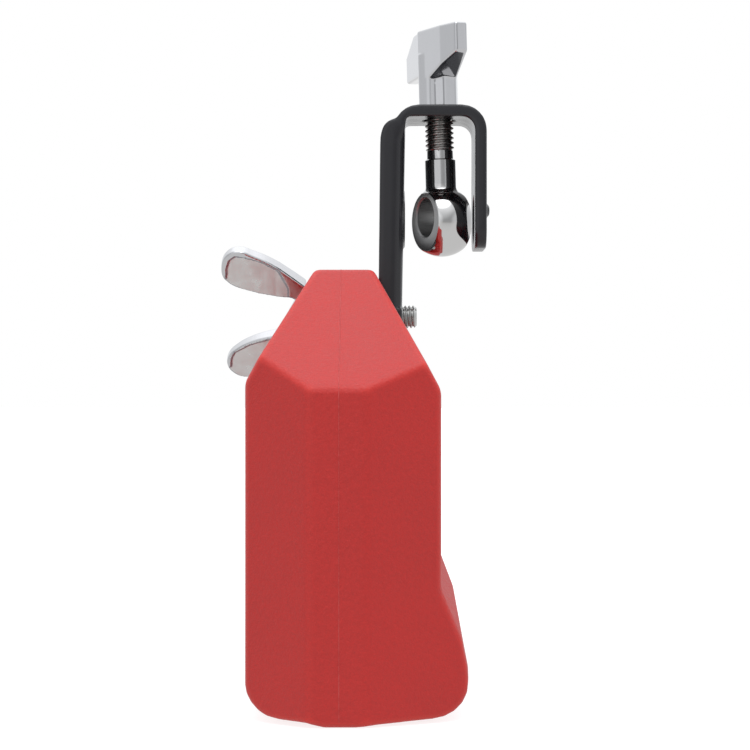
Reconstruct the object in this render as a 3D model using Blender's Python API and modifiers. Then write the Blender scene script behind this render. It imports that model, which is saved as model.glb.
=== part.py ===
"""Block cowbell with its rod clamp: a hollow moulded block, a bent steel bracket that swivels on a
wing bolt, and an eye bolt with a wing nut that pulls a mounting rod tight.

Metres, +Z up. The block's length runs along Y. X = 0 is the mould's parting plane, Y = 0 is the
middle of the length and Z = 0 is the flat bottom.
"""
import math

import bmesh
import bpy
from mathutils import Matrix, Vector

# Resonator block
BLOCK_HALF_LENGTH = 0.085
BLOCK_LEFT = -0.0214
BLOCK_RIGHT = 0.0235
BLOCK_HEIGHT = 0.1043
TOP_LEFT = -0.0060
TOP_RIGHT = 0.0080
LEFT_WALL_TOP = 0.0774
RIGHT_WALL_TOP = 0.0756
END_FACE_HALF_WIDTH = 0.0066
LEFT_CHAMFER_DEPTH = 0.012
RIGHT_CHAMFER_DEPTH = 0.009
END_FACE_TOP = 0.0761
END_SLOPE = 0.8
WALL = 0.004
EDGE_ROUND = 0.0010
LEFT_FOOT_ROUND = 0.0075
RIGHT_FOOT_ROUND = 0.0085
MARGIN = 0.004
CUT_REACH = 0.05

# Striking lip along the block's right side, with the sound slot in it
LIP_HALF_LENGTH = 0.062
LIP_END = 0.078
LIP_TOP = 0.0375
LIP_BROW = (0.0266, 0.0299)
LIP_EDGE = (0.0301, 0.011)
LIP_END_TOP = 0.0285
LIP_END_EDGE = (0.0293, 0.0126)
LIP_FOOT = 0.0303
LIP_ROOT = 0.012
SLOT_HALF_LENGTH = 0.058
SLOT_LOW = 0.0190
SLOT_HIGH = 0.0260

# Neck that the clamp bolt goes through
BOLT_HEIGHT = 0.0943
NECK_LEFT = -0.0075
NECK_RIGHT = 0.0090
POCKET_RADIUS = 0.023
BOSS_RADIUS = 0.0085
GAP = 0.0003

# Clamp bolt: M6 stud, cast wing head, washer, spacer tube and welded nut
STUD_RADIUS = 0.0030
STUD_RIGHT = 0.0192
STUD_CHAMFER = 0.0006
SLEEVE_RADIUS = 0.0045
SLEEVE_BORE = STUD_RADIUS + GAP
WASHER_RADIUS = 0.0070
WASHER_THICKNESS = 0.0010
WASHER_RIGHT = NECK_LEFT - GAP
HUB_RIGHT = WASHER_RIGHT - WASHER_THICKNESS - GAP
HUB_LEFT = -0.0147
SOCKET_LEFT = -0.0120
HUB_RADIUS = 0.0062
HUB_FLANGE_RADIUS = 0.0085
WING_TILT = math.radians(36)
WING_ROOT_THICKNESS = 0.0050
WING_TIP_THICKNESS = 0.0026
WING_EDGE = 0.0005
WING_END = -0.032
HUB_OVERLAP = 0.001
NUT_FLATS = 0.0100
NUT_THICKNESS = 0.0025
NUT_GAP = 0.0004

# Bracket: one bent strap whose long arm is a channel
STRAP = 0.003
BRACKET_HALF_WIDTH = 0.0125
WEB_RIGHT = 0.01615
LONG_ARM_LEAN = 0.018
FLANGE_TIP = 0.0093
FLANGE_THICKNESS = 0.0025
PLATE_TOP = 0.1481
OUTER_ARM_RIGHT = 0.0369
OUTER_ARM_BOTTOM = 0.1116
BEND_RADIUS = 0.0049
ROD_HEIGHT = 0.1195
ROD_HOLE_RADIUS = 0.0063
RIM_RADIUS = 0.00725
RIM_PROUD = 0.0004
ARM_CORNER = 0.005
ARM_CUT_LEFT = 0.005
PIP_Y = -0.009
PIP_HEIGHT = 0.1212
PIP_RADIUS = 0.0026
PIP_TIP_RADIUS = 0.0012
PIP_PROUD = 0.0008
PRESS_DEPTH = 0.001

# Eye bolt: M8 stud with a ball end, and the wing nut above the bracket
EYE_X = 0.0250
EYE_TURN = math.radians(26)
EYE_LEAN = math.radians(1.5)
BALL_RADIUS = 0.0090
BALL_HEIGHT = 0.1189
EYE_HEIGHT = 0.1200
EYE_HALF_WIDTH = 0.0049
EYE_BORE = 0.0050
NECK_FLARE = 0.0008
NECK_START = 0.0066
COLLAR_RADIUS = 0.0040
COLLAR_BOTTOM = 0.1286
COLLAR_TOP = 0.1353
THREAD_RADIUS = 0.0038
THREAD_TOP = 0.1570
PIVOT_RADIUS = 0.0020
PIVOT_BOTTOM = 0.1263
WING_NUT_TURN = math.radians(-62.7)
POST_FLATS = 0.0098
POST_TURN = math.radians(32.5)
POST_TOP = 0.1625
POST_BORE = THREAD_RADIUS + GAP
POST_BORE_TOP = 0.1648
WING_TOP = 0.16855
WING_ROOT = 0.1556
HIGH_TIP = 0.0034
LOW_TIP = 0.0030
HIGH_CREASE = 0.0100
HIGH_FACE = -0.0047
HIGH_REACH = 0.0165
LOW_FACE = 0.0039
LOW_REACH = 0.0189

AXIS_X = Vector((1, 0, 0))
AXIS_Y = Vector((0, 1, 0))


# Scene helpers

def clear_scene():
    for item in list(bpy.data.objects):
        bpy.data.objects.remove(item, do_unlink=True)


def new_collection(name):
    collection = bpy.data.collections.new(name)
    bpy.context.scene.collection.children.link(collection)
    return collection


def new_material(name, color, roughness, metallic):
    material = bpy.data.materials.new(name)
    material.use_nodes = True
    shader = material.node_tree.nodes["Principled BSDF"]
    shader.inputs["Base Color"].default_value = (*color, 1.0)
    shader.inputs["Roughness"].default_value = roughness
    shader.inputs["Metallic"].default_value = metallic
    return material


def object_from_bmesh(name, bm, collection, origin=(0, 0, 0)):
    """Links bm as an object whose origin is put at origin, in world coordinates."""
    origin = Vector(origin)
    bmesh.ops.translate(bm, verts=bm.verts, vec=-origin)
    bmesh.ops.recalc_face_normals(bm, faces=bm.faces)
    mesh = bpy.data.meshes.new(name)
    bm.to_mesh(mesh)
    bm.free()
    item = bpy.data.objects.new(name, mesh)
    item.location = origin
    collection.objects.link(item)
    return item


def cutter_from_bmesh(name, bm):
    item = object_from_bmesh(name, bm, CUTTERS)
    item.hide_render = True
    item.display_type = "WIRE"
    return item


def boolean(item, other, operation):
    modifier = item.modifiers.new(f"{operation.lower()} {other.name}", "BOOLEAN")
    modifier.operation = operation
    modifier.object = other


def bevel(item, width, segments=2, angle=30):
    modifier = item.modifiers.new("edges", "BEVEL")
    modifier.width = width
    modifier.segments = segments
    modifier.limit_method = "ANGLE"
    modifier.angle_limit = math.radians(angle)


def finish(item, material, smooth_angle=35):
    item.data.materials.clear()
    item.data.materials.append(material)
    item.data.shade_smooth()
    item.data.set_sharp_from_angle(angle=math.radians(smooth_angle))


def evaluated_bmesh(item):
    """The object's mesh with its modifiers applied, in world coordinates."""
    mesh = bpy.data.meshes.new_from_object(item.evaluated_get(bpy.context.evaluated_depsgraph_get()))
    bm = bmesh.new()
    bm.from_mesh(mesh)
    bm.transform(item.matrix_world)
    bpy.data.meshes.remove(mesh)
    return bm


def lean(pivot, angle, makers):
    """Makes pieces upright and tilts them, with their cutters, about the Y direction at pivot."""
    before = set(bpy.data.objects)
    for make in makers:
        make()
    hinge = bpy.data.objects.new("leaning_axis", None)
    PARTS.objects.link(hinge)
    hinge.location = pivot
    hinge.rotation_euler = (0, angle, 0)
    for item in set(bpy.data.objects) - before - {hinge}:
        item.parent = hinge
        item.matrix_parent_inverse = Matrix.Translation(-Vector(pivot))


# Shape helpers

def box(low, high):
    bm = bmesh.new()
    bmesh.ops.create_cube(bm, size=1)
    low = Vector(low)
    high = Vector(high)
    bmesh.ops.scale(bm, verts=bm.verts, vec=high - low)
    bmesh.ops.translate(bm, verts=bm.verts, vec=(low + high) / 2)
    return bm


def cylinder(radius, start, end, segments=48, end_radius=None):
    """A round bar, or a cone, from start to end."""
    bm = bmesh.new()
    start = Vector(start)
    end = Vector(end)
    along = end - start
    last = radius if end_radius is None else end_radius
    bmesh.ops.create_cone(bm, cap_ends=True, segments=segments, radius1=radius, radius2=last,
                          depth=along.length)
    turn = along.to_track_quat("Z", "Y").to_matrix().to_4x4()
    bm.transform(Matrix.Translation((start + end) / 2) @ turn)
    return bm


def bar_x(radius, left, right, y=0.0, z=BOLT_HEIGHT, segments=48):
    return cylinder(radius, (left, y, z), (right, y, z), segments)


def slice_away(bm, point, normal):
    """Cuts off what lies beyond the plane and closes the cut."""
    everything = bm.verts[:] + bm.edges[:] + bm.faces[:]
    cut = bmesh.ops.bisect_plane(bm, geom=everything, plane_co=point, plane_no=normal,
                                 clear_outer=True)
    rim = [part for part in cut["geom_cut"] if isinstance(part, bmesh.types.BMEdge)]
    bmesh.ops.edgeloop_fill(bm, edges=rim)


def revolve(name, profile, material, collection, axis="Z", origin=(0, 0, 0), steps=48):
    """Turns a profile of (radius, height) points, listed from top to bottom on its outer side. A
    profile that ends where it starts is a ring's."""
    bm = bmesh.new()
    points = [bm.verts.new((radius, 0, height)) for radius, height in profile]
    if profile[0] == profile[-1]:
        bm.verts.remove(points.pop())
        points.append(points[0])
    for first, second in zip(points, points[1:]):
        bm.edges.new((first, second))
    mesh = bpy.data.meshes.new(name)
    bm.to_mesh(mesh)
    bm.free()
    item = bpy.data.objects.new(name, mesh)
    collection.objects.link(item)
    item.location = origin
    if axis == "X":
        item.rotation_euler = (0, math.pi / 2, 0)
    screw = item.modifiers.new("turned", "SCREW")
    screw.axis = "Z"
    screw.steps = steps
    screw.render_steps = steps
    screw.use_merge_vertices = True
    screw.merge_threshold = 0.00001
    if material:
        item.data.materials.append(material)
    return item


def plate(outline, thickness, matrix, curved=()):
    """A flat plate from a closed outline. The points whose numbers are in curved are rounded."""
    curve = bpy.data.curves.new("outline", "CURVE")
    curve.dimensions = "2D"
    curve.fill_mode = "BOTH"
    curve.extrude = thickness / 2
    curve.resolution_u = 5
    spline = curve.splines.new("BEZIER")
    spline.bezier_points.add(len(outline) - 1)
    for number, (point, position) in enumerate(zip(spline.bezier_points, outline)):
        kind = "AUTO" if number in curved else "VECTOR"
        point.co = (*position, 0)
        point.handle_left_type = kind
        point.handle_right_type = kind
    spline.use_cyclic_u = True
    item = bpy.data.objects.new("outline", curve)
    bpy.context.scene.collection.objects.link(item)
    bpy.context.view_layer.update()
    bm = evaluated_bmesh(item)
    bmesh.ops.remove_doubles(bm, verts=bm.verts, dist=0.00001)
    bmesh.ops.dissolve_limit(bm, angle_limit=math.radians(1), verts=bm.verts, edges=bm.edges)
    bm.transform(matrix)
    bpy.data.objects.remove(item, do_unlink=True)
    return bm


# Resonator block

def block_form(inset):
    """The block's planes, each moved inward by inset. The bottom is left open to a later slice."""
    bm = box((BLOCK_LEFT + inset, -BLOCK_HALF_LENGTH + inset, -MARGIN if inset == 0 else inset),
             (BLOCK_RIGHT - inset, BLOCK_HALF_LENGTH - inset, BLOCK_HEIGHT - inset))
    left_rise = Vector((TOP_LEFT - BLOCK_LEFT, 0, BLOCK_HEIGHT - LEFT_WALL_TOP))
    right_rise = Vector((TOP_RIGHT - BLOCK_RIGHT, 0, BLOCK_HEIGHT - RIGHT_WALL_TOP))
    left_normal = AXIS_Y.cross(left_rise).normalized() * -1
    right_normal = AXIS_Y.cross(right_rise).normalized()
    for start, normal in (((BLOCK_LEFT, 0, LEFT_WALL_TOP), left_normal),
                          ((BLOCK_RIGHT, 0, RIGHT_WALL_TOP), right_normal)):
        outward = normal if normal.z > 0 else -normal
        slice_away(bm, Vector(start) - outward * inset, outward)
    for side in (-1, 1):
        outward = Vector((0, side * END_SLOPE, 1)).normalized()
        ridge = Vector((0, side * BLOCK_HALF_LENGTH, END_FACE_TOP))
        slice_away(bm, ridge - outward * inset, outward)
    return bm


def slice_corners(bm, inset):
    """The upright chamfers beside each end face."""
    for side in (-1, 1):
        for x_end, x_wall, depth in ((-END_FACE_HALF_WIDTH, BLOCK_LEFT, LEFT_CHAMFER_DEPTH),
                                     (END_FACE_HALF_WIDTH, BLOCK_RIGHT, RIGHT_CHAMFER_DEPTH)):
            across = abs(x_wall - x_end)
            outward = Vector((math.copysign(depth, x_end), side * across, 0)).normalized()
            corner = Vector((x_end, side * BLOCK_HALF_LENGTH, 0))
            slice_away(bm, corner - outward * inset, outward)


def lip_form():
    """The hull of the lip's two sections: a high one along the middle, a low one at each end."""
    bm = bmesh.new()
    foot = -MARGIN * 1.5
    middle = ((LIP_ROOT, LIP_TOP), (BLOCK_RIGHT, LIP_TOP), LIP_BROW, LIP_EDGE, (LIP_FOOT, foot),
              (LIP_ROOT, foot))
    end = ((LIP_ROOT, LIP_END_TOP), (BLOCK_RIGHT, LIP_END_TOP), LIP_END_EDGE, (LIP_FOOT, foot),
           (LIP_ROOT, foot))
    for section, y in ((middle, LIP_HALF_LENGTH), (end, LIP_END)):
        for side in (-1, 1):
            for x, z in section:
                bm.verts.new((x, side * y, z))
    bmesh.ops.convex_hull(bm, input=bm.verts)
    bmesh.ops.dissolve_limit(bm, angle_limit=math.radians(0.5), verts=bm.verts, edges=bm.edges)
    return bm


def round_foot(bm, x_wall, radius):
    """Rounds the long bottom edge under the wall at x_wall."""
    edges = [edge for edge in bm.edges
             if all(abs(vert.co.z) < 1e-6 and abs(vert.co.x - x_wall) < 2e-4 for vert in edge.verts)]
    bmesh.ops.bevel(bm, geom=edges, offset=radius, segments=5, profile=0.5, affect="EDGES")


def block_outside():
    """The block's outer form as one closed mesh, with sharp edges except along the foot."""
    rough = object_from_bmesh("block_rough", block_form(0.0), CUTTERS)
    lip = cutter_from_bmesh("lip_form", lip_form())
    boolean(rough, lip, "UNION")
    bpy.context.view_layer.update()
    bm = evaluated_bmesh(rough)
    bpy.data.objects.remove(rough, do_unlink=True)
    slice_corners(bm, 0.0)
    slice_away(bm, Vector((0, 0, 0)), Vector((0, 0, -1)))
    bmesh.ops.remove_doubles(bm, verts=bm.verts, dist=0.00001)
    bmesh.ops.dissolve_limit(bm, angle_limit=math.radians(0.5), verts=bm.verts, edges=bm.edges)
    round_foot(bm, BLOCK_LEFT, LEFT_FOOT_ROUND)
    round_foot(bm, LIP_FOOT, RIGHT_FOOT_ROUND)
    return bm


def block_hollow():
    """The hollow keeps a wall all round, also around both pockets and the bolt's boss."""
    bm = block_form(WALL)
    slice_corners(bm, WALL)
    hollow = cutter_from_bmesh("hollow", bm)
    around = POCKET_RADIUS + WALL
    boolean(hollow, cutter_from_bmesh("pocket_wall_left", bar_x(
        around, -CUT_REACH, NECK_LEFT + WALL)), "DIFFERENCE")
    boolean(hollow, cutter_from_bmesh("pocket_wall_right", bar_x(
        around, NECK_RIGHT - WALL, CUT_REACH)), "DIFFERENCE")
    boolean(hollow, cutter_from_bmesh("boss", bar_x(
        BOSS_RADIUS, -CUT_REACH, CUT_REACH)), "DIFFERENCE")
    return hollow


def make_block():
    block = object_from_bmesh("resonator_block", block_outside(), PARTS)
    bevel(block, EDGE_ROUND, angle=24)
    boolean(block, block_hollow(), "DIFFERENCE")
    slot = box((0.0, -SLOT_HALF_LENGTH, SLOT_LOW), (CUT_REACH, SLOT_HALF_LENGTH, SLOT_HIGH))
    boolean(block, cutter_from_bmesh("sound_slot", slot), "DIFFERENCE")
    boolean(block, cutter_from_bmesh("pocket_left", bar_x(
        POCKET_RADIUS, -CUT_REACH, NECK_LEFT)), "DIFFERENCE")
    boolean(block, cutter_from_bmesh("pocket_right", bar_x(
        POCKET_RADIUS, NECK_RIGHT, CUT_REACH)), "DIFFERENCE")
    boolean(block, cutter_from_bmesh("sleeve_hole", bar_x(
        SLEEVE_RADIUS + GAP, -CUT_REACH, CUT_REACH)), "DIFFERENCE")
    finish(block, RED_PLASTIC)


def make_sleeve():
    right = NECK_RIGHT
    profile = [(SLEEVE_BORE, right), (SLEEVE_RADIUS, right), (SLEEVE_RADIUS, NECK_LEFT),
               (SLEEVE_BORE, NECK_LEFT), (SLEEVE_BORE, right)]
    revolve("spacer_sleeve", profile, BRIGHT_STEEL, PARTS, "X", (0, 0, BOLT_HEIGHT), 32)


# Clamp bolt

def wing(name, plan, elevation, place, middle=0, curved=()):
    """A wing that tapers both ways: what its plan and its elevation have in common. Along the wing
    is X, across it Y, and the plan is drawn at height middle."""
    stand_up = Matrix.Rotation(math.pi / 2, 4, AXIS_X)
    form = cutter_from_bmesh(name, plate(elevation, CUT_REACH, place @ stand_up, curved))
    over = Matrix.Translation((0, 0, middle))
    across = cutter_from_bmesh(f"{name}_plan", plate(plan, CUT_REACH, place @ over))
    boolean(form, across, "INTERSECT")
    bevel(form, WING_EDGE, angle=35)
    return form


def upper_wing_outline():
    """One wing of the bolt head as X and distance from the bolt's axis, seen square to it."""
    return [(HUB_RIGHT - 0.0002, 0.0103), (-0.0129, 0.0134), (-0.0177, 0.0171), (-0.0226, 0.0197),
            (-0.0263, 0.0210), (-0.0294, 0.0197), (-0.0309, 0.0155), (-0.0300, 0.0121),
            (-0.0228, 0.0086), (-0.0166, 0.0074), (-0.0122, 0.0066), (-0.0113, 0.0040),
            (HUB_RIGHT - 0.0002, 0.0040)]


def lower_wing_outline():
    """The other wing, which leaves the hub a little closer to the axis."""
    return [(HUB_RIGHT - 0.0002, -0.0038), (-0.0116, -0.0038), (-0.0182, -0.0050),
            (-0.0238, -0.0068), (-0.0276, -0.0091), (-0.0300, -0.0118), (-0.0304, -0.0146),
            (-0.0285, -0.0174), (-0.0255, -0.0184), (-0.0226, -0.0176), (-0.0177, -0.0154),
            (-0.0129, -0.0126), (HUB_RIGHT - 0.0002, -0.0095)]


def make_wing_bolt():
    """A nose-shaped hub with a blind socket for the stud, and two wings that thin towards their
    tips."""
    end = HUB_RIGHT
    hub = [(0, SOCKET_LEFT), (STUD_RADIUS + GAP, SOCKET_LEFT), (STUD_RADIUS + GAP, end),
           (HUB_FLANGE_RADIUS, end), (HUB_FLANGE_RADIUS, end - 0.0008),
           (HUB_RADIUS, end - 0.0016), (HUB_RADIUS - 0.0002, -0.0115), (0.0052, -0.0121),
           (0.0040, -0.0128), (0.0020, -0.0139), (0.0006, -0.0146), (0, HUB_LEFT)]
    head = revolve("wing_bolt_head", hub, CHROME, PARTS, "X", (0, 0, BOLT_HEIGHT), 48)
    place = Matrix.Translation((0, 0, BOLT_HEIGHT)) @ Matrix.Rotation(WING_TILT, 4, AXIS_X)
    root = WING_ROOT_THICKNESS / 2
    tip = WING_TIP_THICKNESS / 2
    start = HUB_RIGHT + HUB_OVERLAP
    wedge = [(start, -root), (WING_END, -tip), (WING_END, tip), (start, root)]
    for name, outline in (("upper", upper_wing_outline()), ("lower", lower_wing_outline())):
        rounded = range(1, len(outline) - 2) if name == "upper" else range(2, len(outline) - 1)
        boolean(head, wing(f"{name}_wing", wedge, outline, place, 0, rounded), "UNION")
    head.data.shade_smooth()

    left = SOCKET_LEFT + GAP
    profile = [(0, STUD_RIGHT), (STUD_RADIUS - STUD_CHAMFER, STUD_RIGHT),
               (STUD_RADIUS, STUD_RIGHT - STUD_CHAMFER), (STUD_RADIUS, left), (0, left)]
    revolve("wing_bolt_stud", profile, BRIGHT_STEEL, PARTS, "X", (0, 0, BOLT_HEIGHT), 32)


def make_washer():
    left = WASHER_RIGHT - WASHER_THICKNESS
    profile = [(SLEEVE_BORE, WASHER_RIGHT), (WASHER_RADIUS, WASHER_RIGHT), (WASHER_RADIUS, left),
               (SLEEVE_BORE, left), (SLEEVE_BORE, WASHER_RIGHT)]
    revolve("wing_bolt_washer", profile, BRIGHT_STEEL, PARTS, "X", (0, 0, BOLT_HEIGHT), 40)


def make_captive_nut():
    right = web_right(BOLT_HEIGHT) - STRAP - NUT_GAP
    corner = NUT_FLATS / 2 / math.cos(math.pi / 6)
    bm = bar_x(corner, right - NUT_THICKNESS, right, segments=6)
    nut = object_from_bmesh("captive_nut", bm, PARTS, (right, 0, BOLT_HEIGHT))
    boolean(nut, cutter_from_bmesh("nut_thread", bar_x(
        SLEEVE_BORE, right - STRAP * 2, right + STRAP, segments=32)), "DIFFERENCE")
    finish(nut, BRIGHT_STEEL)


# Bracket

def web_right(height):
    """X of the long arm's right face, which leans to the left below the bend."""
    bend = PLATE_TOP - BEND_RADIUS - STRAP / 2
    return WEB_RIGHT - LONG_ARM_LEAN * (bend - height)


def strap_path():
    """The strap's outer face seen from the front: up the long arm, across, down the short one."""
    bend = BEND_RADIUS + STRAP / 2
    steps = 6
    foot = BOLT_HEIGHT - BRACKET_HALF_WIDTH
    path = [(web_right(foot) - STRAP, foot)]
    corners = ((WEB_RIGHT - STRAP + bend, 180), (OUTER_ARM_RIGHT - bend, 90))
    for centre, start in corners:
        for step in range(steps + 1):
            angle = math.radians(start - 90 * step / steps)
            path.append((centre + bend * math.cos(angle), PLATE_TOP - bend + bend * math.sin(angle)))
    path.append((OUTER_ARM_RIGHT, OUTER_ARM_BOTTOM))
    return path


def strap_sheet():
    """An open sheet along the path, whose outer side faces left, up and right."""
    bm = bmesh.new()
    rows = [[bm.verts.new((x, y, z)) for y in (-BRACKET_HALF_WIDTH, BRACKET_HALF_WIDTH)]
            for x, z in strap_path()]
    for first, second in zip(rows, rows[1:]):
        bm.faces.new((first[1], first[0], second[0], second[1]))
    mesh = bpy.data.meshes.new("mounting_bracket")
    bm.to_mesh(mesh)
    bm.free()
    sheet = bpy.data.objects.new("mounting_bracket", mesh)
    CUTTERS.objects.link(sheet)
    thick = sheet.modifiers.new("thickness", "SOLIDIFY")
    thick.thickness = STRAP
    thick.offset = -1
    bpy.context.view_layer.update()
    bm = evaluated_bmesh(sheet)
    bpy.data.objects.remove(sheet, do_unlink=True)
    return bm


def flange_form(side):
    """One side flange of the long arm, rounded off under the bend and at the foot."""
    foot = BOLT_HEIGHT + 0.0005
    web = web_right(foot) - 0.0004
    outline = [(FLANGE_TIP, foot + 0.0045), (FLANGE_TIP, BLOCK_HEIGHT), (0.0097, 0.1380),
               (0.0100, 0.1410), (0.0112, 0.1434), (0.0143, 0.1449), (0.0157, 0.1425),
               (web, foot), (0.0117, foot)]
    stand_up = Matrix.Rotation(math.pi / 2, 4, AXIS_X)
    y = side * (BRACKET_HALF_WIDTH - FLANGE_THICKNESS / 2)
    return plate(outline, FLANGE_THICKNESS, Matrix.Translation((0, y, 0)) @ stand_up, (3, 4))


def round_arm_end(bm, x_outer, end_z, radius):
    """Rounds both lower corners of an arm, seen square to its broad face."""
    corners = [edge for edge in bm.edges
               if abs(edge.verts[0].co.x - edge.verts[1].co.x) > STRAP / 2
               and all(abs(vert.co.z - end_z) < 1e-6 and abs(vert.co.x - x_outer) < STRAP * 1.01
                       for vert in edge.verts)]
    bmesh.ops.bevel(bm, geom=corners, offset=radius, segments=8, profile=0.5, affect="EDGES")


def make_bracket():
    axis = (0, 0, BOLT_HEIGHT)
    strap = strap_sheet()
    foot = BOLT_HEIGHT - BRACKET_HALF_WIDTH
    round_arm_end(strap, web_right(foot), foot, BRACKET_HALF_WIDTH - 0.0002)
    round_arm_end(strap, OUTER_ARM_RIGHT, OUTER_ARM_BOTTOM, ARM_CORNER)
    bracket = object_from_bmesh("mounting_bracket", strap, PARTS, axis)
    for side in (-1, 1):
        flange = cutter_from_bmesh(f"flange_{side}", flange_form(side))
        boolean(bracket, flange, "UNION")
    face = web_right(ROD_HEIGHT)
    rim = bar_x(RIM_RADIUS, face - PRESS_DEPTH, face + RIM_PROUD, z=ROD_HEIGHT)
    boolean(bracket, cutter_from_bmesh("rod_rim", rim), "UNION")
    pip = cylinder(PIP_RADIUS, (OUTER_ARM_RIGHT - PRESS_DEPTH, PIP_Y, PIP_HEIGHT),
                   (OUTER_ARM_RIGHT + PIP_PROUD, PIP_Y, PIP_HEIGHT), 24, PIP_TIP_RADIUS)
    boolean(bracket, cutter_from_bmesh("arm_pip", pip), "UNION")
    boolean(bracket, cutter_from_bmesh("rod_hole", bar_x(
        ROD_HOLE_RADIUS, ARM_CUT_LEFT, CUT_REACH, z=ROD_HEIGHT)), "DIFFERENCE")
    boolean(bracket, cutter_from_bmesh("bolt_hole", bar_x(
        STUD_RADIUS + GAP, ARM_CUT_LEFT, WEB_RIGHT + STRAP, segments=32)), "DIFFERENCE")
    eye_bolt_hole = cylinder(COLLAR_RADIUS + GAP, (EYE_X, 0, PLATE_TOP - STRAP * 3),
                             (EYE_X, 0, PLATE_TOP + STRAP * 2), 40)
    boolean(bracket, cutter_from_bmesh("eye_bolt_hole", eye_bolt_hole), "DIFFERENCE")
    finish(bracket, BLACK_PAINT)


# Eye bolt and wing nut

def ball_profile():
    """Half of the ball end, cut flat on both sides, from the middle of one flat to the other's."""
    steps = 12
    reach = math.asin(EYE_HALF_WIDTH / BALL_RADIUS)
    angles = [reach - 2 * reach * step / steps for step in range(steps + 1)]
    outer = [(BALL_RADIUS * math.cos(angle), BALL_RADIUS * math.sin(angle)) for angle in angles]
    return [(0, EYE_HALF_WIDTH), *outer, (0, -EYE_HALF_WIDTH)]


def make_eye():
    """The ball end with its eye, and the neck it hangs by. The eye sits a little above the ball's
    middle."""
    middle = (EYE_X, 0, BALL_HEIGHT)
    ball = revolve("eye_bolt_ball", ball_profile(), CHROME, PARTS, "X", middle, 56)
    ball.rotation_euler = (0, math.pi / 2, EYE_TURN)
    seat = COLLAR_BOTTOM - GAP
    neck = cylinder(COLLAR_RADIUS + NECK_FLARE, (EYE_X, 0, BALL_HEIGHT + NECK_START),
                    (EYE_X, 0, seat), 40, COLLAR_RADIUS)
    boolean(ball, cutter_from_bmesh("ball_neck", neck), "UNION")
    eye = Vector((EYE_X, 0, EYE_HEIGHT))
    along = Vector((math.cos(EYE_TURN), math.sin(EYE_TURN), 0)) * BALL_RADIUS * 1.5
    bore = cylinder(EYE_BORE, eye - along, eye + along, 56)
    boolean(ball, cutter_from_bmesh("rod_eye", bore), "DIFFERENCE")
    socket = cylinder(PIVOT_RADIUS + GAP, (EYE_X, 0, PIVOT_BOTTOM - GAP), (EYE_X, 0, seat + 0.002), 24)
    boolean(ball, cutter_from_bmesh("pivot_socket", socket), "DIFFERENCE")
    ball.data.shade_smooth()


def make_eye_stud():
    profile = [(0, THREAD_TOP), (THREAD_RADIUS - STUD_CHAMFER, THREAD_TOP),
               (THREAD_RADIUS, THREAD_TOP - STUD_CHAMFER), (THREAD_RADIUS, COLLAR_TOP),
               (COLLAR_RADIUS, COLLAR_TOP - 0.0002), (COLLAR_RADIUS, COLLAR_BOTTOM),
               (PIVOT_RADIUS, COLLAR_BOTTOM), (PIVOT_RADIUS, PIVOT_BOTTOM), (0, PIVOT_BOTTOM)]
    revolve("eye_bolt_stud", profile, CHROME, PARTS, "Z", (EYE_X, 0, 0), 40)


def make_wing_nut():
    """A faceted post with two wings that leave it on opposite sides, one high and one low. Along
    the wings is X and across them Y, before the nut is turned to its place."""
    base = PLATE_TOP + GAP
    place = Matrix.Translation((EYE_X, 0, 0)) @ Matrix.Rotation(WING_NUT_TURN, 4, "Z")
    turned = HIGH_FACE + 0.15 * (HIGH_REACH - HIGH_CREASE)
    high_plan = [(-0.0024, HIGH_FACE), (HIGH_CREASE, HIGH_FACE), (HIGH_REACH, turned),
                 (HIGH_REACH, turned + HIGH_TIP), (0.0020, 0.0040), (-0.0030, 0.0030)]
    high_side = [(-0.0032, WING_TOP), (HIGH_REACH, WING_TOP), (HIGH_REACH, 0.1610),
                 (0.0036, WING_ROOT), (-0.0032, WING_ROOT)]
    low_plan = [(0.0024, 0.0049), (-LOW_REACH, LOW_FACE), (-LOW_REACH, LOW_FACE - LOW_TIP),
                (-0.0020, -0.0044), (0.0030, -0.0030)]
    low_side = [(0.0031, WING_TOP - 0.0002), (-0.0088, WING_TOP - 0.0002), (-LOW_REACH, 0.1639),
                (-LOW_REACH, 0.1570), (0.0031, 0.1567)]
    post = cylinder(POST_FLATS / 2 / math.cos(math.pi / 8), (0, 0, base), (0, 0, POST_TOP), 8)
    post.transform(place @ Matrix.Rotation(POST_TURN, 4, "Z"))
    nut = object_from_bmesh("wing_nut", post, PARTS, (EYE_X, 0, base))
    bevel(nut, 0.0003, angle=35)
    boolean(nut, wing("high_wing", high_plan, high_side, place, POST_TOP), "UNION")
    boolean(nut, wing("low_wing", low_plan, low_side, place, POST_TOP), "UNION")
    rib = box((-0.0021, HIGH_FACE + 0.0001, base + 0.0001), (0.0038, -0.0030, WING_ROOT + 0.002))
    rib.transform(place)
    boolean(nut, cutter_from_bmesh("post_rib", rib), "UNION")
    bore = cylinder(POST_BORE, (EYE_X, 0, base - 0.01), (EYE_X, 0, POST_BORE_TOP), 40)
    boolean(nut, cutter_from_bmesh("nut_bore", bore), "DIFFERENCE")
    finish(nut, CHROME)


clear_scene()
PARTS = new_collection("Cowbell")
CUTTERS = new_collection("Cutters")
RED_PLASTIC = new_material("red_plastic", (0.43, 0.035, 0.03), 0.55, 0.0)
BLACK_PAINT = new_material("black_paint", (0.016, 0.016, 0.018), 0.35, 0.0)
CHROME = new_material("chrome", (0.80, 0.80, 0.82), 0.08, 1.0)
BRIGHT_STEEL = new_material("bright_steel", (0.62, 0.62, 0.64), 0.25, 1.0)

make_block()
make_sleeve()
make_washer()
make_captive_nut()
make_wing_bolt()
make_bracket()
lean((EYE_X, 0, PLATE_TOP - STRAP / 2), -EYE_LEAN, (make_eye, make_eye_stud, make_wing_nut))
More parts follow.
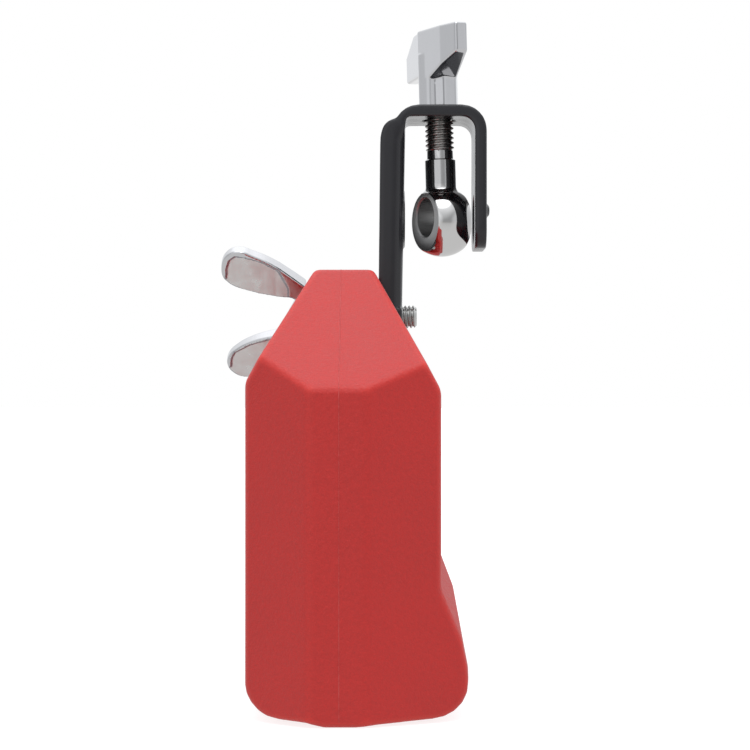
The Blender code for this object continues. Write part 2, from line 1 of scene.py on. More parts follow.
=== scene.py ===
"""Looks of the block cowbell and its rod clamp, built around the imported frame.

Metres, +Z up. The block's length runs along Y, and the camera looks along +Y at its end.
"""
import math

import bmesh
import bpy
import numpy as np
from mathutils import Matrix, Vector


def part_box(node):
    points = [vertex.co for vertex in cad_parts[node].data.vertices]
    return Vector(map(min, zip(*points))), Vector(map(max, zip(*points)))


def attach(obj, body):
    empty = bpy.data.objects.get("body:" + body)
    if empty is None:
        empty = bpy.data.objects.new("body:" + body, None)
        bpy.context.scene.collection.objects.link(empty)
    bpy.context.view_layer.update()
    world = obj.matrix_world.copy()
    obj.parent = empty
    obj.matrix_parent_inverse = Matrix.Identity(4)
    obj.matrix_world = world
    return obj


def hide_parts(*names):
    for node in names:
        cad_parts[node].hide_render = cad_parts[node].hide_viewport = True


MM = 0.001
SCENE = bpy.context.scene

# Places and angles taken from the CAD part
BOLT_HEIGHT = 0.0943
EYE_HEIGHT = 0.1200
EYE_X = 0.0250
EYE_TURN = math.radians(26)
WING_TILT = math.radians(36)
BALL_MIDDLE = 0.1189
BALL_RADIUS = 9.0 * MM
BALL_HALF_WIDTH = 4.9 * MM
EYE_PIVOT = (EYE_X, 0, 0.1466)
EYE_LEAN = math.radians(1.5)
EYE_NECK_TOP = 0.1373

# The bracket's channel: its web's right face at the upper bend, and how far that face moves to the
# left for each metre below the bend
WEB_RIGHT = 0.01615
WEB_BEND = 0.1417
WEB_LEAN = 0.018

# The wings of the clamp bolt: half their thickness near the tip, and how it grows to the hub
WING_TIP_X = -0.032
WING_TIP_HALF = 1.3 * MM
WING_TAPER = 0.0508

# How bright the floor is to everything but the camera
FLOOR_GLOW = 0.76

# What the softboxes point at
LIT_POINT = (0, 0, 0.08)

AXIS_X = Vector((1, 0, 0))
AXIS_Y = Vector((0, 1, 0))
AXIS_Z = Vector((0, 0, 1))


# Mesh helpers

def show(name, mesh):
    """A new object in the scene that shows a mesh."""
    item = bpy.data.objects.new(name, mesh)
    SCENE.collection.objects.link(item)
    return item


def welded_copy(node, name):
    """A new object with a CAD node's shape, its corners joined so that modifiers work on it."""
    bm = bmesh.new()
    bm.from_mesh(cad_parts[node].data)
    bmesh.ops.remove_doubles(bm, verts=bm.verts, dist=0.002 * MM)
    mesh = bpy.data.meshes.new(name)
    bm.to_mesh(mesh)
    bm.free()
    return show(name, mesh)


def apply_modifiers(item):
    """Swaps the object's mesh for the one its modifiers make."""
    depsgraph = bpy.context.evaluated_depsgraph_get()
    depsgraph.update()
    mesh = bpy.data.meshes.new_from_object(item.evaluated_get(depsgraph))
    old = item.data
    item.modifiers.clear()
    item.data = mesh
    bpy.data.meshes.remove(old)


def boolean(item, other, operation):
    """Joins, cuts or intersects item with other, which is used up."""
    modifier = item.modifiers.new("shape", "BOOLEAN")
    modifier.operation = operation
    modifier.object = other
    modifier.solver = "EXACT"
    apply_modifiers(item)
    bpy.data.objects.remove(other, do_unlink=True)


def remesh(item, voxel):
    """An even skin of small quads, voxel metres wide."""
    modifier = item.modifiers.new("voxels", "REMESH")
    modifier.mode = "VOXEL"
    modifier.voxel_size = voxel
    modifier.adaptivity = 0
    apply_modifiers(item)


def smooth(item, passes):
    """Rounds edges and corners, further with each pass."""
    modifier = item.modifiers.new("soften", "SMOOTH")
    modifier.factor = 0.5
    modifier.iterations = passes
    apply_modifiers(item)


def points_of(item):
    points = np.zeros(len(item.data.vertices) * 3, np.float64)
    item.data.vertices.foreach_get("co", points)
    return points.reshape(-1, 3)


def set_points(item, points):
    item.data.vertices.foreach_set("co", points.astype(np.float32).ravel())
    item.data.update()


def place(item, material, body, slot, *nodes):
    """Shades the piece smooth and makes it ride on its body in place of its CAD nodes."""
    item.data.materials.clear()
    item.data.materials.append(material)
    item.data.shade_smooth()
    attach(item, body)
    if nodes:
        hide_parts(*nodes)


def prism(name, outline, low, high, matrix):
    """A solid with a flat outline in local X and Y, between two heights."""
    bm = bmesh.new()
    face = bm.faces.new([bm.verts.new((x, y, low)) for x, y in outline])
    if face.normal.z > 0:
        face.normal_flip()
    raised = bmesh.ops.extrude_face_region(bm, geom=[face])
    moved = [part for part in raised["geom"] if isinstance(part, bmesh.types.BMVert)]
    bmesh.ops.translate(bm, verts=moved, vec=(0, 0, high - low))
    bmesh.ops.recalc_face_normals(bm, faces=bm.faces)
    bm.transform(matrix)
    mesh = bpy.data.meshes.new(name)
    bm.to_mesh(mesh)
    bm.free()
    return show(name, mesh)


def turned(name, heights, radii, matrix):
    """A closed solid made of rings. radii holds one row for each height and one column for each
    direction, so a thread can wind round it."""
    rings, around = radii.shape
    turn = np.arange(around) * 2 * math.pi / around
    points = np.stack([radii * np.cos(turn), radii * np.sin(turn),
                       np.repeat(heights[:, None], around, 1)], -1).reshape(-1, 3)
    faces = []
    for ring in range(rings - 1):
        for step in range(around):
            after = (step + 1) % around
            low = ring * around
            faces.append((low + step, low + after, low + around + after, low + around + step))
    faces.append(tuple(range(around - 1, -1, -1)))
    faces.append(tuple(range((rings - 1) * around, rings * around)))
    mesh = bpy.data.meshes.new(name)
    mesh.from_pydata(points.tolist(), [], faces)
    mesh.transform(matrix)
    mesh.update()
    return show(name, mesh)


# Material helpers

class Look:
    """A Principled material and its node tree, with shorter ways to add and join nodes."""

    def __init__(self, name, color, roughness, metallic=0.0):
        self.material = bpy.data.materials.new(name)
        self.material.use_nodes = True
        self.tree = self.material.node_tree
        self.shader = self.tree.nodes["Principled BSDF"]
        self.shader.inputs["Base Color"].default_value = (*color, 1)
        self.shader.inputs["Roughness"].default_value = roughness
        self.shader.inputs["Metallic"].default_value = metallic
        self.place = self.add("ShaderNodeTexCoord").outputs["Object"]

    def add(self, kind, inputs=None, **settings):
        node = self.tree.nodes.new(kind)
        for key, value in settings.items():
            setattr(node, key, value)
        for key, value in (inputs or {}).items():
            self.feed(value, node.inputs[key])
        return node

    def feed(self, value, socket):
        if isinstance(value, bpy.types.NodeSocket):
            self.tree.links.new(value, socket)
        else:
            socket.default_value = value

    def noise(self, size, detail=2.0, roughness=0.5, where=None):
        """Noise whose features are about size metres wide."""
        return self.add("ShaderNodeTexNoise", {
            "Vector": where or self.place, "Scale": 1 / size, "Detail": detail,
            "Roughness": roughness}).outputs["Fac"]

    def math(self, operation, first, second=0.0):
        return self.add("ShaderNodeMath", {0: first, 1: second}, operation=operation).outputs[0]

    def spread(self, value, low, high, to_low, to_high):
        """Maps low to high onto to_low to to_high, and holds the ends."""
        return self.add("ShaderNodeMapRange", {
            "Value": value, "From Min": low, "From Max": high,
            "To Min": to_low, "To Max": to_high}).outputs[0]

    def blend(self, share, first, second):
        """A colour that runs from first to second as share goes from 0 to 1."""
        node = self.add("ShaderNodeMix", data_type="RGBA")
        self.feed(share, node.inputs["Factor"])
        self.feed(first if isinstance(first, bpy.types.NodeSocket) else (*first, 1), node.inputs[6])
        self.feed(second if isinstance(second, bpy.types.NodeSocket) else (*second, 1),
                  node.inputs[7])
        return node.outputs[2]

    def bump(self, height, depth, under=None):
        """A relief depth metres deep, on top of the relief given as under."""
        node = self.add("ShaderNodeBump", {"Height": height, "Distance": depth, "Strength": 1.0})
        if under is not None:
            self.tree.links.new(under, node.inputs["Normal"])
        return node.outputs["Normal"]

    def finish(self, **sockets):
        """Joins what is given to the shader's inputs, named with _ for a space."""
        for key, value in sockets.items():
            self.feed(value, self.shader.inputs[key.replace("_", " ")])
        return self.material


def red_plastic(name="red_plastic", lighter=0.0, edge_highlight=1.0):
    """Moulded plastic with a fine spark-eroded grain and slight sink and flow clouds. The second
    argument is how much paler its specks are, a painted highlight on the raised seam, and the third
    how far its convex edges are brightened, a painted highlight along the ridges."""
    deep = (0.415, 0.0065, 0.0040)
    pale = (0.485, 0.0090 + lighter * 0.12, 0.0060 + lighter * 0.12)
    edge_highlight_red = (0.58, 0.020, 0.012)
    look = Look(name, deep, 0.5)
    look.shader.inputs["Specular IOR Level"].default_value = 0.62
    cloud = look.noise(22 * MM, 3)
    speck = look.noise(0.9 * MM, 3, 0.65)
    share = look.math("ADD", look.spread(cloud, 0.35, 0.65, 0.15, 0.45),
                      look.spread(speck, 0.35, 0.65, -0.2, 0.4))
    # Convex edges found by pointiness blend towards a paler red: a painted highlight along the
    # block's ridges.
    edge = look.spread(look.add("ShaderNodeNewGeometry").outputs["Pointiness"],
                       0.506, 0.530, 0, edge_highlight)
    color = look.blend(edge, look.blend(share, deep, pale), edge_highlight_red)
    rough = look.math("ADD", look.spread(cloud, 0.3, 0.7, 0.46, 0.52),
                      look.spread(speck, 0.3, 0.7, -0.04, 0.04))
    grain = look.noise(0.42 * MM, 3, 0.6)
    pull = look.bump(cloud, 0.10 * MM)
    peel = look.bump(look.noise(1.1 * MM, 2, 0.55), 0.12 * MM, under=pull)
    return look.finish(Base_Color=color, Roughness=rough,
                       Normal=look.bump(grain, 0.10 * MM, under=peel))


def black_paint():
    """Thick black enamel: nearly black, semi-gloss, with a little orange peel."""
    look = Look("black_paint", (0.013, 0.013, 0.016), 0.3)
    cloud = look.noise(6 * MM, 2)
    peel = look.noise(1.3 * MM, 2)
    rough = look.spread(cloud, 0.3, 0.7, 0.19, 0.27)
    return look.finish(Roughness=rough, Normal=look.bump(peel, 0.015 * MM))


def metal(name, color, roughness, wave, depth):
    """Plated or bare metal, with faint hazy patches and a slight waviness of the surface."""
    look = Look(name, color, roughness, 1.0)
    haze = look.noise(3 * MM, 3)
    rough = look.spread(haze, 0.3, 0.7, roughness * 0.7, roughness * 1.3)
    return look.finish(Roughness=rough, Normal=look.bump(look.noise(wave, 2), depth))


def ball_metal():
    """Polished metal outside, and fine turning marks within the eye and on both flats."""
    polished, machined = (0.66, 0.655, 0.65), (0.34, 0.34, 0.34)
    look = Look("chrome_ball", polished, 0.06, 1.0)
    there = Matrix.Translation(EYE_PIVOT)
    back = (there @ Matrix.Rotation(-EYE_LEAN, 4, AXIS_Y) @ there.inverted() @
            Matrix.Translation((EYE_X, 0, EYE_HEIGHT)) @ Matrix.Rotation(EYE_TURN, 4, AXIS_Z))
    upright = back.inverted()
    local = look.add("ShaderNodeMapping", {
        "Vector": look.place, "Location": upright.to_translation(),
        "Rotation": upright.to_euler()}).outputs[0]
    parts = look.add("ShaderNodeSeparateXYZ", {0: local}).outputs
    away = look.math("SQRT", look.math("ADD", look.math("MULTIPLY", parts["Y"], parts["Y"]),
                                       look.math("MULTIPLY", parts["Z"], parts["Z"])))
    # The bore with its chamfer, and the flats on both sides
    bored = look.spread(away, 5.40 * MM, 5.45 * MM, 1, 0)
    flat = look.spread(look.math("ABSOLUTE", parts["X"]), 4.80 * MM, 4.88 * MM, 0, 1)
    inside = look.math("MAXIMUM", bored, flat)
    squeezed = look.add("ShaderNodeVectorMath", {0: local, 1: (1, 0.02, 0.02)},
                        operation="MULTIPLY").outputs[0]
    tool = look.bump(look.noise(0.22 * MM, 2, 0.6, squeezed), 0.02 * MM)
    bump = look.add("ShaderNodeMix", data_type="VECTOR")
    look.feed(inside, bump.inputs["Factor"])
    look.feed(look.bump(look.noise(3 * MM, 2), 0.006 * MM), bump.inputs[4])
    look.feed(tool, bump.inputs[5])
    rough = look.spread(inside, 0, 1, 0.07, 0.38)
    color = look.blend(inside, polished, machined)
    return look.finish(Base_Color=color, Roughness=rough, Normal=bump.outputs[1])


def stud_metal():
    """The eye bolt: polished collar and neck, bare rolled thread above them."""
    polished, rolled = (0.60, 0.60, 0.60), (0.43, 0.42, 0.41)
    look = Look("stud_steel", rolled, 0.3, 1.0)
    height = look.add("ShaderNodeSeparateXYZ", {0: look.place}).outputs["Z"]
    threaded = look.spread(height, EYE_NECK_TOP - 0.1 * MM, EYE_NECK_TOP + 0.2 * MM, 0, 1)
    haze = look.spread(look.noise(0.6 * MM, 2), 0.3, 0.7, 0.7, 1.3)
    rough = look.math("MULTIPLY", haze, look.spread(threaded, 0, 1, 0.11, 0.32))
    color = look.blend(threaded, polished, rolled)
    return look.finish(Base_Color=color, Roughness=rough)


# Pieces

def make_block(material):
    """The block with softened edges. The outer parts of its underside are lifted a little, which
    leaves it standing on its middle."""
    block = welded_copy("resonator_block", "block_shell")
    remesh(block, 0.5 * MM)
    smooth(block, 2)
    points = points_of(block)
    across = np.array([-22.0, -17.4, -12.0, -7.0, -3.0, 4.0, 9.0, 15.0, 21.0, 30.0]) * MM
    lifted = np.array([2.0, 1.2, 1.0, 0.9, 0.0, 0.0, 0.4, 0.6, 0.8, 0.8]) * MM
    lift_ends = 18 * MM
    share = np.clip(1 - points[:, 2] / lift_ends, 0, 1) ** 2
    points[:, 2] += np.interp(points[:, 0], across, lifted) * share
    set_points(block, points)
    place(block, material, "block", "red_plastic", "resonator_block")
    return block


def outline_at(item, x):
    """The outermost loop where the plane at x cuts a mesh, as (y, z) points in order and more than
    1 mm apart."""
    bm = bmesh.new()
    bm.from_mesh(item.data)
    cut = bmesh.ops.bisect_plane(bm, geom=bm.verts[:] + bm.edges[:] + bm.faces[:],
                                 plane_co=(x, 0, 0), plane_no=(1, 0, 0))["geom_cut"]
    edges = [part for part in cut if isinstance(part, bmesh.types.BMEdge)]
    beside = {}
    for edge in edges:
        for vert in edge.verts:
            beside.setdefault(vert, []).append(edge.other_vert(vert))
    start = max(beside, key=lambda vert: vert.co.z + vert.co.y * 0.001)
    loop, last = [start], None
    while True:
        here = loop[-1]
        steps = [vert for vert in beside[here] if vert is not last]
        last = here
        if not steps or steps[0] is start:
            break
        loop.append(steps[0])
        if len(loop) > len(beside):
            break
    points = [(vert.co.y, vert.co.z) for vert in loop]
    bm.free()
    kept = [points[0]]
    for point in points[1:]:
        if math.dist(point, kept[-1]) > 1.0 * MM:
            kept.append(point)
    return kept


def make_parting_line(block, material):
    """The faint raised seam that the two mould halves leave round the block, in a paler red that is
    a painted highlight along the seam.
    """
    x, half_width, proud, sunk = 0.3 * MM, 0.13 * MM, 0.05 * MM, 0.3 * MM
    crest, shoulder = half_width * 0.4, proud * 0.4
    inner_height = 0.05
    loop = outline_at(block, x)
    count = len(loop)
    section = ((-half_width, -sunk), (-half_width, shoulder), (-crest, proud),
               (crest, proud), (half_width, shoulder), (half_width, -sunk))
    points, faces = [], []
    for index, (y, z) in enumerate(loop):
        before, after = loop[index - 1], loop[(index + 1) % count]
        along = Vector((0, after[0] - before[0], after[1] - before[1])).normalized()
        out = along.cross(AXIS_X)
        if out.dot(Vector((0, y, z - inner_height))) < 0:
            out = -out
        for side, rise in section:
            points.append(Vector((x + side, y, z)) + out * rise)
    width = len(section)
    for index in range(count):
        following = (index + 1) % count
        for step in range(width):
            after = (step + 1) % width
            faces.append((index * width + step, index * width + after,
                          following * width + after, following * width + step))
    mesh = bpy.data.meshes.new("parting_line")
    mesh.from_pydata(points, [], faces)
    bm = bmesh.new()
    bm.from_mesh(mesh)
    bmesh.ops.recalc_face_normals(bm, faces=bm.faces)
    bm.to_mesh(mesh)
    bm.free()
    place(show("parting_line", mesh), material, "block", "red_plastic")


def make_bracket(material):
    """The bent strap: a tighter inside corner at the long arm's upper bend, and rounded outer
    corners along the channel, which fade out below that bend."""
    bracket = welded_copy("mounting_bracket", "bracket_strap")
    inner_corner = [(0.01616, 0.1400), (0.01616, 0.1439), (0.0165, 0.14475), (0.0174, 0.14508),
                    (0.0205, 0.14508), (0.0205, 0.1400)]
    stand_up = Matrix.Rotation(math.pi / 2, 4, AXIS_X)
    boolean(bracket, prism("inner_corner", inner_corner, -14 * MM, 14 * MM, stand_up),
            "DIFFERENCE")
    remesh(bracket, 0.35 * MM)
    points = points_of(bracket)
    radius = 3 * MM
    half_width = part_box("mounting_bracket")[1].y
    web_right = WEB_RIGHT - WEB_LEAN * np.maximum(WEB_BEND - points[:, 2], 0)
    a = (points[:, 0] - (web_right - radius)) / radius
    b = (np.abs(points[:, 1]) - (half_width - radius)) / radius
    fade_end, fade_length = 0.1430, 0.004
    fade = np.clip((fade_end - points[:, 2]) / fade_length, 0, 1)
    above_bolt = points[:, 2] > BOLT_HEIGHT + 2 * MM
    inside = (a > 0) & (b > 0) & (a < 1.2) & above_bolt
    length = np.hypot(a, b)
    shrink = np.where(inside, np.maximum(a, b) / np.maximum(length, 1e-9), 1)
    shrink = 1 + (shrink - 1) * fade
    points[:, 0] = np.where(inside, web_right - radius + a * shrink * radius, points[:, 0])
    points[:, 1] = np.where(inside, np.sign(points[:, 1]) * (
        half_width - radius + b * shrink * radius), points[:, 1])
    set_points(bracket, points)
    smooth(bracket, 8)
    place(bracket, material, "bracket", "black_paint", "mounting_bracket")


def leaning(item):
    """Tilts an upright piece of the eye bolt about the hole in the plate, as the CAD part does."""
    there = Matrix.Translation(EYE_PIVOT)
    item.data.transform(there @ Matrix.Rotation(-EYE_LEAN, 4, AXIS_Y) @ there.inverted())
    return item


def make_wing_nut(material):
    """The cast wing nut, its corners melted as casting and plating leave them."""
    nut = welded_copy("wing_nut", "wing_nut_casting")
    remesh(nut, 0.2 * MM)
    smooth(nut, 9)
    place(nut, material, "wing_nut", "chrome", "wing_nut")


def wing_recess(outline, face):
    """A cutter for the shallow field in one face of a wing. The field runs out over the wing's
    lower edge, and a ramp near the hub leads out of it."""
    place_at = Matrix.Translation((0, 0, BOLT_HEIGHT)) @ Matrix.Rotation(WING_TILT, 4, AXIS_X)
    stand_up = Matrix.Rotation(math.pi / 2, 4, AXIS_X)
    seen_square = prism("recess", outline, -6 * MM, 6 * MM, place_at @ stand_up)
    floor = [(-0.0330, 0.00116), (-0.0290, 0.00118), (-0.0200, 0.00150), (-0.0170, 0.00172),
             (-0.0140, 0.00212), (-0.0122, 0.00260), (-0.0122, 0.0060), (-0.0330, 0.0060)]
    seen_from_above = prism("recess_floor", [(x, -face * half) for x, half in floor],
                            -30 * MM, 30 * MM, place_at)
    boolean(seen_square, seen_from_above, "INTERSECT")
    return seen_square


def within(outline, x, z):
    """Which of the points lie inside a closed outline, by counting the edges to one side."""
    odd = np.zeros(len(x), bool)
    for (x1, z1), (x2, z2) in zip(outline, outline[1:] + outline[:1]):
        if z1 == z2:
            continue
        crosses = (z1 > z) != (z2 > z)
        odd ^= crosses & (x < x1 + (z - z1) * (x2 - x1) / (z2 - z1))
    return odd


def grown(outline, share):
    """The outline made share times as large about its middle."""
    middle = np.mean(outline, axis=0)
    return [tuple(middle + (np.array(point) - middle) * share) for point in outline]


def finish_wings(head, outlines):
    """Gives the fields and the roots of the wings the matt finish, the head's second material, and
    the walls round each field a darker, rougher metal, its third, which is painted shade in those
    recess walls."""
    turn = np.array(Matrix.Rotation(-WING_TILT, 3, AXIS_X))
    values = np.zeros(len(head.data.polygons) * 3)
    head.data.polygons.foreach_get("center", values)
    x, across, z = turn @ (values.reshape(-1, 3) - np.array([0, 0, BOLT_HEIGHT])).T
    head.data.polygons.foreach_get("normal", values)
    facing = np.abs((turn @ values.reshape(-1, 3).T)[1])
    half_thick = WING_TIP_HALF + (x - WING_TIP_X) * WING_TAPER
    depth = half_thick - np.abs(across)

    def in_fields(share):
        upper, lower = (within(grown(outline, share), x, z) for outline in outlines)
        return upper | lower

    field = in_fields(1.05) & (depth > 0.03 * MM)
    root = (facing > 0.9) & (x > -0.018) & (x < -0.0095)
    wall = in_fields(1.07) & (facing < 0.985) & (depth < 0.5 * MM)
    index = np.where(wall, 2, np.where(field | root, 1, 0)).astype(np.int32)
    head.data.polygons.foreach_set("material_index", index)


def make_wing_bolt(material, matt, wall_shade):
    """The cast head of the clamp bolt, with a shallow field in each face of its wings."""
    head = welded_copy("wing_bolt_head", "wing_bolt_casting")
    upper = [(-0.0163, 0.0156), (-0.0206, 0.0180), (-0.0237, 0.0190), (-0.0272, 0.0196),
             (-0.0288, 0.0183), (-0.0296, 0.0158), (-0.0298, 0.0130), (-0.0310, 0.0105),
             (-0.0300, 0.0080), (-0.0220, 0.0060), (-0.0125, 0.0050), (-0.0130, 0.0080),
             (-0.0142, 0.0114)]
    lower = [(-0.0128, -0.0058), (-0.0194, -0.0060), (-0.0243, -0.0078), (-0.0284, -0.0104),
             (-0.0293, -0.0124), (-0.0295, -0.0148), (-0.0310, -0.0165), (-0.0290, -0.0200),
             (-0.0200, -0.0200), (-0.0128, -0.0160)]
    for outline in (upper, lower):
        for face in (1, -1):
            boolean(head, wing_recess(outline, face), "DIFFERENCE")
    remesh(head, 0.2 * MM)
    smooth(head, 5)
    place(head, material, "wing_bolt", "chrome", "wing_bolt_head")
    head.data.materials.append(matt)
    head.data.materials.append(wall_shade)
    finish_wings(head, (upper, lower))


def thread(heights, around, pitch, crest, root):
    """Radii of a right-hand thread with narrow flats at its crest and root."""
    turn = np.arange(around) / around
    phase = (heights[:, None] / pitch - turn[None, :]) % 1
    ridge = 1 - np.abs(2 * phase - 1)
    root_flat, flank = 0.12, 0.70
    share = np.clip((ridge - root_flat) / flank, 0, 1)
    return root + (crest - root) * share


def make_wing_bolt_stud(material):
    """The clamp bolt's M6 thread, chamfered at both ends."""
    low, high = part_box("wing_bolt_stud")
    length = high.x - low.x
    pitch = 1.0 * MM
    heights = np.linspace(0, length, int(length / pitch * 12))
    radii = thread(heights, 64, pitch, 2.95 * MM, 2.42 * MM)
    for from_end in (length - heights, heights):
        radii = np.minimum(radii, 2.3 * MM + from_end[:, None])
    lie_down = Matrix.Rotation(math.pi / 2, 4, AXIS_Y)
    stud = turned("wing_bolt_thread", heights, radii,
                  Matrix.Translation((low.x, 0, BOLT_HEIGHT)) @ lie_down)
    place(stud, material, "wing_bolt", "bright_steel", "wing_bolt_stud")


def make_eye_stud(material):
    """The eye bolt's collar, plain neck and M8 thread."""
    pivot_low, collar_low, collar_high, neck_top, top = 0.1263, 0.1286, 0.1351, EYE_NECK_TOP, 0.1570
    pitch, around = 1.25 * MM, 72
    lower = np.array([pivot_low, pivot_low + 0.1 * MM, collar_low - 0.01 * MM, collar_low,
                      collar_high - 0.30 * MM, collar_high, collar_high + 0.05 * MM, neck_top])
    lower_radii = np.array([1.85, 1.95, 1.95, 3.97, 3.97, 3.66, 3.40, 3.37]) * MM
    upper = np.linspace(neck_top, top, int((top - neck_top) / pitch * 14))[1:]
    radii = thread(upper, around, pitch, 3.70 * MM, 3.08 * MM)
    radii = np.minimum(radii, 3.37 * MM + (upper - neck_top)[:, None])
    radii = np.minimum(radii, 3.1 * MM + (top - upper)[:, None])
    heights = np.concatenate([lower, upper])
    radii = np.concatenate([np.repeat(lower_radii[:, None], around, 1), radii])
    stud = leaning(turned("eye_bolt_thread", heights, radii, Matrix.Translation((EYE_X, 0, 0))))
    place(stud, material, "eye_bolt", "chrome", "eye_bolt_stud")
    stud.data.set_sharp_from_angle(angle=math.radians(40))


def make_eye(material):
    """The ball end: a ball cut flat on both sides, a chamfered eye through it and a flared neck."""
    ball, face, bore, chamfer, around = BALL_RADIUS, BALL_HALF_WIDTH, 4.95 * MM, 0.4 * MM, 144
    reach = math.asin(face / ball)
    angles = np.linspace(-reach, reach, 49)
    softened_rim = ball * math.cos(reach) - 0.12 * MM
    heights = np.concatenate([[-face], ball * np.sin(angles[1:-1]), [face]])
    radii = np.concatenate([[softened_rim], ball * np.cos(angles[1:-1]), [softened_rim]])
    turn = Matrix.Rotation(EYE_TURN, 4, AXIS_Z) @ Matrix.Rotation(math.pi / 2, 4, AXIS_Y)
    eye = turned("eye_bolt_eye", heights, np.repeat(radii[:, None], around, 1),
                 Matrix.Translation((EYE_X, 0, BALL_MIDDLE)) @ turn)
    # The neck flares into the ball: height above the ball's middle, and radius there
    rise = np.array([7.3, 7.6, 7.9, 8.2, 8.5, 8.8, 9.1, 9.7]) * MM
    flare = np.array([5.30, 4.86, 4.50, 4.24, 4.08, 4.00, 3.97, 3.97]) * MM
    neck = turned("neck", BALL_MIDDLE + rise, np.repeat(flare[:, None], 96, 1),
                  Matrix.Translation((EYE_X, 0, 0)))
    boolean(eye, neck, "UNION")
    # The bore with a chamfer at each end, and the hole for the stud's pivot
    beyond = 3 * MM
    depths = np.array([-face - beyond, chamfer - face, face - chamfer, face + beyond])
    wide = bore + chamfer + beyond
    widths = np.array([wide, bore, bore, wide])
    cutter = turned("eye_bore", depths, np.repeat(widths[:, None], 128, 1),
                    Matrix.Translation((EYE_X, 0, EYE_HEIGHT)) @ turn)
    boolean(eye, cutter, "DIFFERENCE")
    socket = turned("socket", np.array([0.1260, 0.1400]), np.full((2, 48), 2.2 * MM),
                    Matrix.Translation((EYE_X, 0, 0)))
    boolean(eye, socket, "DIFFERENCE")
    leaning(eye)
    place(eye, material, "eye", "chrome", "eye_bolt_ball")
    eye.data.set_sharp_from_angle(angle=math.radians(25))


def dress_hidden(material):
    """The washer, tube and welded nut keep their CAD shape and take a steel look."""
    for node in ("wing_bolt_washer", "spacer_sleeve", "captive_nut"):
        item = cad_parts[node]
        item.data.materials.clear()
        item.data.materials.append(material)


# Studio

# Soft bright areas of the studio: the way to each, the cosines between which it fades in, and how
# much it adds
LOBES = (
    ((0, 1, 0.1), 0.1, 0.9, 0.28),
    ((0, 0, 1), 0.3, 0.8, 0.35),
    ((0, -0.4, 0.92), 0.88, 0.975, 1.5),
    ((0, -0.75, 0.66), 0.75, 0.98, 0.35),
    ((0, 0.25, 0.97), 0.80, 0.97, 0.45),
    ((-0.42, -0.90, 0.08), 0.85, 0.965, 0.42),
    ((0.82, -0.57, 0.05), 0.88, 0.98, 0.25),
)


def surroundings(nodes, links, direction):
    """How bright the studio is in a direction: dim in front, lighter behind, and brightest
    overhead and a little to the front."""
    split = nodes.new("ShaderNodeSeparateXYZ")
    links.new(direction, split.inputs[0])

    def ramp(socket, low, high, to_low, to_high):
        node = nodes.new("ShaderNodeMapRange")
        node.interpolation_type = "SMOOTHSTEP"
        for key, value in (("From Min", low), ("From Max", high), ("To Min", to_low),
                           ("To Max", to_high)):
            node.inputs[key].default_value = value
        links.new(socket, node.inputs["Value"])
        return node.outputs[0]

    def combine(first, second):
        """The sum of both."""
        node = nodes.new("ShaderNodeMath")
        links.new(first, node.inputs[0])
        links.new(second, node.inputs[1])
        return node.outputs[0]

    def lobe(direction_to, low, high, gain):
        node = nodes.new("ShaderNodeVectorMath")
        node.operation = "DOT_PRODUCT"
        links.new(direction, node.inputs[0])
        node.inputs[1].default_value = Vector(direction_to).normalized()
        return ramp(node.outputs["Value"], low, high, 0.0, gain)

    light = ramp(split.outputs["Y"], -0.98, 0.1, 0.42, 0.70)
    for bright in LOBES:
        light = combine(light, lobe(*bright))
    return light


def make_floor():
    """A pale disc: white to the camera but for a faint contact shadow. To reflections it is grey
    near the object and runs into the surroundings far away."""
    bm = bmesh.new()
    bmesh.ops.create_circle(bm, cap_ends=True, segments=128, radius=6.0)
    mesh = bpy.data.meshes.new("studio_floor")
    bm.to_mesh(mesh)
    bm.free()
    floor = show("studio_floor", mesh)
    floor.location.z = -0.2 * MM
    look = Look("pale_floor", (0.25, 0.25, 0.25), 0.9)
    nodes, links = look.tree.nodes, look.tree.links
    away = look.add("ShaderNodeVectorMath", {0: look.place}, operation="LENGTH").outputs["Value"]
    look.finish(Emission_Strength=look.spread(away, 0.0, 0.4, 0.80, 1.0))
    look.shader.inputs["Emission Color"].default_value = (1, 1, 1, 1)
    direction = look.add("ShaderNodeVectorMath", {0: look.place}, operation="NORMALIZE").outputs[0]
    far = look.spread(away, 0.15, 1.8, 0, 1)
    glow = look.add("ShaderNodeMix", {"Factor": far}, data_type="FLOAT")
    look.feed(FLOOR_GLOW, glow.inputs[2])
    look.feed(surroundings(nodes, links, direction), glow.inputs[3])
    plain = look.add("ShaderNodeEmission", {"Color": (1, 1, 1, 1), "Strength": glow.outputs[0]})
    rays = look.add("ShaderNodeLightPath")
    mix = look.add("ShaderNodeMixShader", {"Fac": rays.outputs["Is Camera Ray"]})
    links.new(plain.outputs[0], mix.inputs[1])
    links.new(look.shader.outputs[0], mix.inputs[2])
    links.new(mix.outputs[0], nodes["Material Output"].inputs["Surface"])
    mesh.materials.append(look.material)


def make_world():
    """The pale studio around the object. The camera sees it as plain white."""
    world = bpy.data.worlds.new("studio")
    SCENE.world = world
    world.use_nodes = True
    nodes, links = world.node_tree.nodes, world.node_tree.links
    nodes.clear()
    out = nodes.new("ShaderNodeOutputWorld")
    direction = nodes.new("ShaderNodeTexCoord").outputs["Generated"]
    lit = nodes.new("ShaderNodeBackground")
    lit.inputs["Color"].default_value = (0.965, 0.98, 1.0, 1)
    links.new(surroundings(nodes, links, direction), lit.inputs["Strength"])
    seen = nodes.new("ShaderNodeBackground")
    seen.inputs["Color"].default_value = (1, 1, 1, 1)
    seen.inputs["Strength"].default_value = 1.0
    rays = nodes.new("ShaderNodeLightPath")
    mix = nodes.new("ShaderNodeMixShader")
    links.new(rays.outputs["Is Camera Ray"], mix.inputs[0])
    links.new(lit.outputs[0], mix.inputs[1])
    links.new(seen.outputs[0], mix.inputs[2])
    links.new(mix.outputs[0], out.inputs["Surface"])


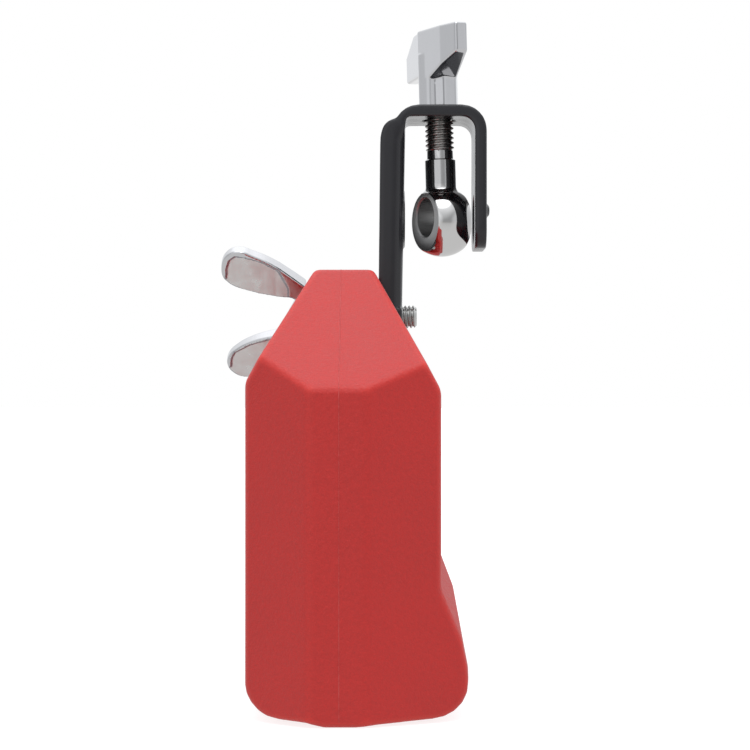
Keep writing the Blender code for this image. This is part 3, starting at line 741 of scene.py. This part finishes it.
def make_light(name, place_at, size, power):
    """A softbox of power watts that lights the object and isn't mirrored in it."""
    data = bpy.data.lights.new(name, "AREA")
    data.shape = "RECTANGLE"
    data.size, data.size_y = size
    data.energy = power
    light = bpy.data.objects.new(name, data)
    SCENE.collection.objects.link(light)
    light.location = place_at
    away = Vector(place_at) - Vector(LIT_POINT)
    light.rotation_euler = away.to_track_quat("Z", "Y").to_euler()
    light.visible_glossy = False


def make_camera():
    """A level camera that looks along +Y at the block's end, at about three quarters of its
    height."""
    data = bpy.data.cameras.new("camera")
    data.sensor_width = 36
    data.lens = 113.6
    data.shift_y = 0.0067
    camera = bpy.data.objects.new("camera", data)
    SCENE.collection.objects.link(camera)
    camera.location = (0.0084, -0.6145, 0.0779)
    camera.rotation_euler = (math.pi / 2, 0, 0)
    SCENE.camera = camera


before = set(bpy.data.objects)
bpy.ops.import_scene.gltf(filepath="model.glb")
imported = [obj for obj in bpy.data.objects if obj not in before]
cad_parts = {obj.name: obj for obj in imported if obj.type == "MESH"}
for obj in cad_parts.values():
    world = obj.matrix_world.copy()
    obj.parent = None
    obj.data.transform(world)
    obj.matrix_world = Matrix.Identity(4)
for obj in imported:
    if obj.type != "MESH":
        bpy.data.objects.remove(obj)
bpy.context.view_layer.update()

RED = red_plastic()
# The seam's red with paler specks: a painted highlight where the raised seam catches the light.
SEAM_HIGHLIGHT = red_plastic("red_seam_highlight", 0.35, 0.0)
BLACK = black_paint()
CAST = metal("chrome_cast", (0.62, 0.62, 0.635), 0.08, 4 * MM, 0.03 * MM)
MATT = metal("chrome_matt", (0.68, 0.67, 0.66), 0.34, 1.2 * MM, 0.02 * MM)
# A darker, rougher metal for the walls round the wing fields: painted shade in those recesses.
WALL_SHADE = metal("chrome_wall_shade", (0.40, 0.43, 0.46), 0.60, 1.2 * MM, 0.02 * MM)
BALL = ball_metal()
STUD = stud_metal()
STEEL = metal("bright_steel", (0.58, 0.58, 0.57), 0.28, 0.5 * MM, 0.01 * MM)

shell = make_block(RED)
make_parting_line(shell, SEAM_HIGHLIGHT)
make_bracket(BLACK)
make_wing_nut(CAST)
make_wing_bolt(CAST, MATT, WALL_SHADE)
make_wing_bolt_stud(STEEL)
make_eye_stud(STUD)
make_eye(BALL)
dress_hidden(STEEL)

make_floor()
make_world()
make_light("top_softbox", (0.0, -0.45, 1.05), (0.8, 0.8), 2.6)
make_light("left_softbox", (-1.0, -0.5, 0.5), (0.7, 0.9), 1.6)
make_light("right_softbox", (1.1, -0.4, 0.4), (0.5, 0.9), 1.8)
make_camera()

SCENE.view_settings.view_transform = "Standard"
